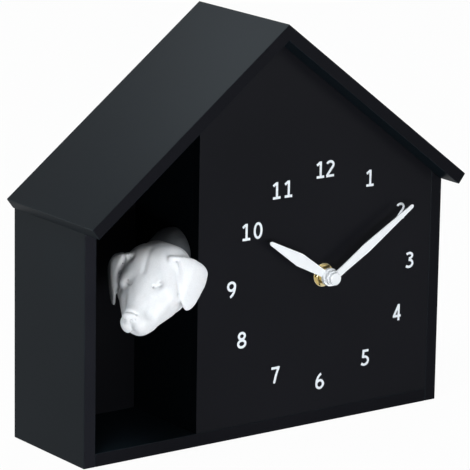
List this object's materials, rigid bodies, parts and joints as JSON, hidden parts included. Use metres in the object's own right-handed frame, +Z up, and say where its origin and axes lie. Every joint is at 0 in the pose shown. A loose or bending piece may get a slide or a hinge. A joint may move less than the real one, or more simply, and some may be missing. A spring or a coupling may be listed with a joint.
{
  "type": "desk clock",
  "caption": "House-shaped desk clock with a gabled roof, a dial beside an open kennel, and a dog that leans out and draws back in.",
  "frame": {"origin": "centre of the base's underside, between the two side walls and between their front and rear edges", "axes": "+X along the front to the viewer's right, +Y from the dial towards the back, +Z up"},
  "size_m": [0.25, 0.0976, 0.2307],
  "materials": {
    "black_board": "satin black lacquer on fibreboard",
    "dial_black": "smooth satin black lacquer",
    "back_board": "matt black lacquer",
    "pine": "bare pine",
    "white_print": "screen print, matt",
    "white_hands": "white lacquer",
    "white_cap": "moulded",
    "brass": "turned",
    "steel": "bright",
    "black_rubber": "matt",
    "black_plastic": "moulded, fine texture",
    "knob_plastic": "moulded",
    "wheel_plastic": "moulded",
    "drive_plastic": "moulded",
    "magnet": "sintered",
    "copper_wire": "enamelled",
    "board_green": "solder mask",
    "part_black": "moulded",
    "cell_wrap": "printed sleeve",
    "dog_white": "cast resin, matt white",
    "speaker_black": "paper cone in a moulded ring",
    "button_red": "moulded",
    "lead_red": "insulated"
  },
  "bodies": {
    "case": {"left_wall": "black_board", "right_wall": "black_board", "floor_board": "black_board", "divider_wall": "black_board", "dial_panel": "dial_black", "back_panel": "back_board", "roof_left": "black_board", "roof_right": "black_board", "glue_blocks": "pine", "back_screws": "steel", "dial_numerals": "white_print", "fixing_nut": "brass", "brass_washer": "brass", "threaded_bush": "brass", "rubber_gasket": "black_rubber", "movement_plate": "black_plastic", "movement_case": "black_plastic", "stator": "steel", "drive_coil": "copper_wire", "clock_board": "board_green", "clock_contacts": "steel", "clock_cell": "cell_wrap", "guide_rods": "steel", "drive_chassis": "black_plastic", "chassis_screws": "steel", "gear_motor": "steel", "battery_box": "black_plastic", "dog_cells": "cell_wrap", "cell_contacts": "steel", "door_pins": "steel", "speaker": "speaker_black", "sound_board": "board_green", "board_parts": "part_black", "board_pillars": "drive_plastic", "switch_body": "steel", "lead_wires": "lead_red"},
    "minute_hand_body": {"minute_hand": "white_hands", "hand_cap": "white_cap", "minute_arbor": "brass"},
    "hour_hand_body": {"hour_hand": "white_hands", "hour_wheel": "wheel_plastic"},
    "motion_wheel_body": {"motion_wheel": "wheel_plastic"},
    "setting_knob_body": {"setting_knob": "knob_plastic"},
    "fourth_wheel_body": {"fourth_wheel": "wheel_plastic"},
    "third_wheel_body": {"third_wheel": "wheel_plastic"},
    "centre_wheel_body": {"centre_wheel": "wheel_plastic"},
    "fifth_wheel_body": {"fifth_wheel": "wheel_plastic"},
    "rotor_body": {"rotor": "magnet"},
    "dog": {"dog_head": "dog_white", "dog_carriage": "drive_plastic"},
    "drive": {"drive_pinion": "drive_plastic", "motor_shaft": "steel"},
    "battery_door_body": {"battery_door": "black_plastic"},
    "test_button_body": {"test_button": "button_red"},
    "switch_body_slider": {"switch_slider": "drive_plastic"}
  },
  "joints": [
    {"name": "minute_hand_turn", "type": "hinge", "parent": "case", "child": "minute_hand_body", "pos_m": [0.0372, -0.0345, 0.085], "axis": [0, 1, 0], "continuous": true},
    {"name": "hour_hand_turn", "type": "hinge", "parent": "case", "child": "hour_hand_body", "pos_m": [0.0372, -0.0345, 0.085], "axis": [0, 1, 0], "continuous": true},
    {"name": "motion_wheel_turn", "type": "hinge", "parent": "case", "child": "motion_wheel_body", "pos_m": [0.0278, -0.0345, 0.08842], "axis": [0, 1, 0], "continuous": true},
    {"name": "setting_knob_turn", "type": "hinge", "parent": "case", "child": "setting_knob_body", "pos_m": [0.02598, -0.0345, 0.09876], "axis": [0, 1, 0], "continuous": true},
    {"name": "fourth_wheel_turn", "type": "hinge", "parent": "case", "child": "fourth_wheel_body", "pos_m": [0.05069, -0.0345, 0.09828], "axis": [0, 1, 0], "continuous": true},
    {"name": "third_wheel_turn", "type": "hinge", "parent": "case", "child": "third_wheel_body", "pos_m": [0.04593, -0.0345, 0.09004], "axis": [0, 1, 0], "continuous": true},
    {"name": "centre_wheel_turn", "type": "hinge", "parent": "case", "child": "centre_wheel_body", "pos_m": [0.0372, -0.0345, 0.085], "axis": [0, 1, 0], "continuous": true},
    {"name": "fifth_wheel_turn", "type": "hinge", "parent": "case", "child": "fifth_wheel_body", "pos_m": [0.0422, -0.0345, 0.10318], "axis": [0, 1, 0], "continuous": true},
    {"name": "rotor_turn", "type": "hinge", "parent": "case", "child": "rotor_body", "pos_m": [0.03383, -0.0345, 0.10392], "axis": [0, 1, 0], "continuous": true},
    {"name": "dog_slide", "type": "slide", "parent": "case", "child": "dog", "axis": [0, 1, 0], "range_m": [0, 0.025]},
    {"name": "drive_pinion_turn", "type": "hinge", "parent": "case", "child": "drive", "pos_m": [-0.01105, -0.0017, 0.107], "axis": [0, 0, 1], "range_deg": [-240.7, 2]},
    {"name": "battery_door_hinge", "type": "hinge", "parent": "case", "child": "battery_door_body", "pos_m": [0, 0.0324, 0.0161], "axis": [-1, 0, 0], "range_deg": [0, 100]},
    {"name": "test_button_press", "type": "slide", "parent": "case", "child": "test_button_body", "axis": [0, -1, 0], "range_m": [0, 0.0015], "stiffness_N_per_m": 300, "springref_m": -0.001},
    {"name": "switch_slide", "type": "slide", "parent": "case", "child": "switch_body_slider", "axis": [1, 0, 0], "range_m": [0, 0.003]}
  ],
  "couplings": [
    {"joint": "hour_hand_turn", "follows": "minute_hand_turn", "ratio": 0.083333},
    {"joint": "motion_wheel_turn", "follows": "minute_hand_turn", "ratio": -0.33333},
    {"joint": "setting_knob_turn", "follows": "minute_hand_turn", "ratio": 0.83333},
    {"joint": "third_wheel_turn", "follows": "fourth_wheel_turn", "ratio": -0.13333},
    {"joint": "centre_wheel_turn", "follows": "fourth_wheel_turn", "ratio": 0.016667},
    {"joint": "fifth_wheel_turn", "follows": "fourth_wheel_turn", "ratio": -6},
    {"joint": "rotor_turn", "follows": "fourth_wheel_turn", "ratio": 30},
    {"joint": "drive_pinion_turn", "follows": "dog_slide", "rad_per_m": -166.67}
  ]
}
